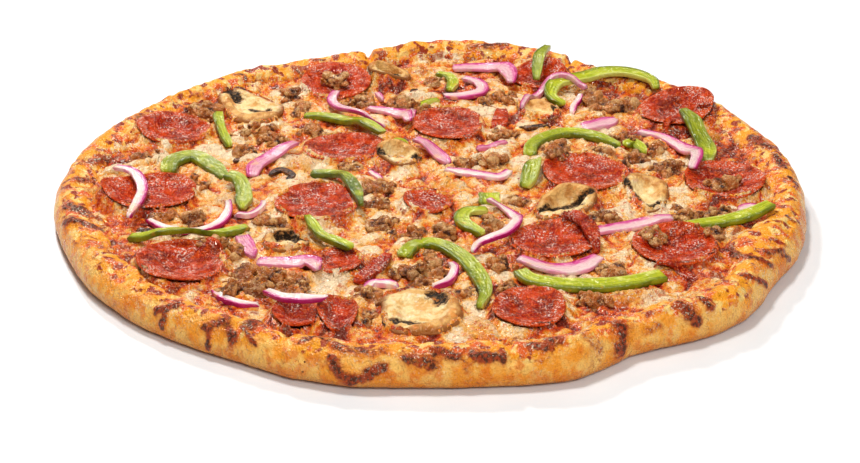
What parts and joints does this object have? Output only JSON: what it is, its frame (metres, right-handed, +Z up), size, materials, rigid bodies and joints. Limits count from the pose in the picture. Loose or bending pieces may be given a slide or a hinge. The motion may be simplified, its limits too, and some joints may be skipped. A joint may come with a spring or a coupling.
{
  "type": "sliced pizza with mixed toppings",
  "caption": "Round baked pizza with a browned raised rim, melted cheese, cupped pepperoni, sausage crumbles, green pepper strips, red onion and mushroom slices.",
  "frame": {"origin": "middle of the pizza on its flat base", "axes": "+Z up through the toppings, +X to the right and +Y away from the viewer in the picture"},
  "size_m": [0.3596, 0.3565, 0.0244],
  "materials": {
    "crust": "baked wheat dough, golden with browned and charred spots, satin",
    "cheese": "melted cheese with oil and browned patches, semi-gloss",
    "pepperoni": "cured sausage slice, oily, semi-gloss",
    "pepper": "cooked green pepper, moist, semi-gloss",
    "onion": "cooked red onion, translucent pink with magenta edges, semi-gloss",
    "mushroom": "cooked mushroom slice, tan with dark gills, satin"
  },
  "bodies": {
    "root": {"crust": "crust", "cheese": "cheese", "pepperoni_01": "pepperoni", "pepperoni_02": "pepperoni", "pepperoni_03": "pepperoni", "pepperoni_04": "pepperoni", "pepperoni_05": "pepperoni", "pepperoni_06": "pepperoni", "pepperoni_07": "pepperoni", "pepperoni_08": "pepperoni", "pepperoni_09": "pepperoni", "pepperoni_10": "pepperoni", "pepperoni_11": "pepperoni", "pepperoni_12": "pepperoni", "pepperoni_13": "pepperoni", "pepperoni_14": "pepperoni", "pepperoni_15": "pepperoni", "pepperoni_16": "pepperoni", "pepperoni_17": "pepperoni", "pepperoni_18": "pepperoni", "mushroom_01": "mushroom", "mushroom_02": "mushroom", "mushroom_03": "mushroom", "mushroom_04": "mushroom", "mushroom_05": "mushroom", "mushroom_06": "mushroom", "mushroom_07": "mushroom", "mushroom_08": "mushroom", "pepper_01": "pepper", "pepper_02": "pepper", "pepper_03": "pepper", "pepper_04": "pepper", "pepper_05": "pepper", "pepper_06": "pepper", "pepper_07": "pepper", "pepper_08": "pepper", "pepper_09": "pepper", "pepper_10": "pepper", "pepper_11": "pepper", "pepper_12": "pepper", "pepper_13": "pepper", "pepper_14": "pepper", "pepper_15": "pepper", "pepper_16": "pepper", "pepper_17": "pepper", "onion_01": "onion", "onion_02": "onion", "onion_03": "onion", "onion_04": "onion", "onion_05": "onion", "onion_06": "onion", "onion_07": "onion", "onion_08": "onion", "onion_09": "onion", "onion_10": "onion", "onion_11": "onion", "onion_12": "onion", "onion_13": "onion", "onion_14": "onion", "onion_15": "onion"}
  },
  "joints": []
}
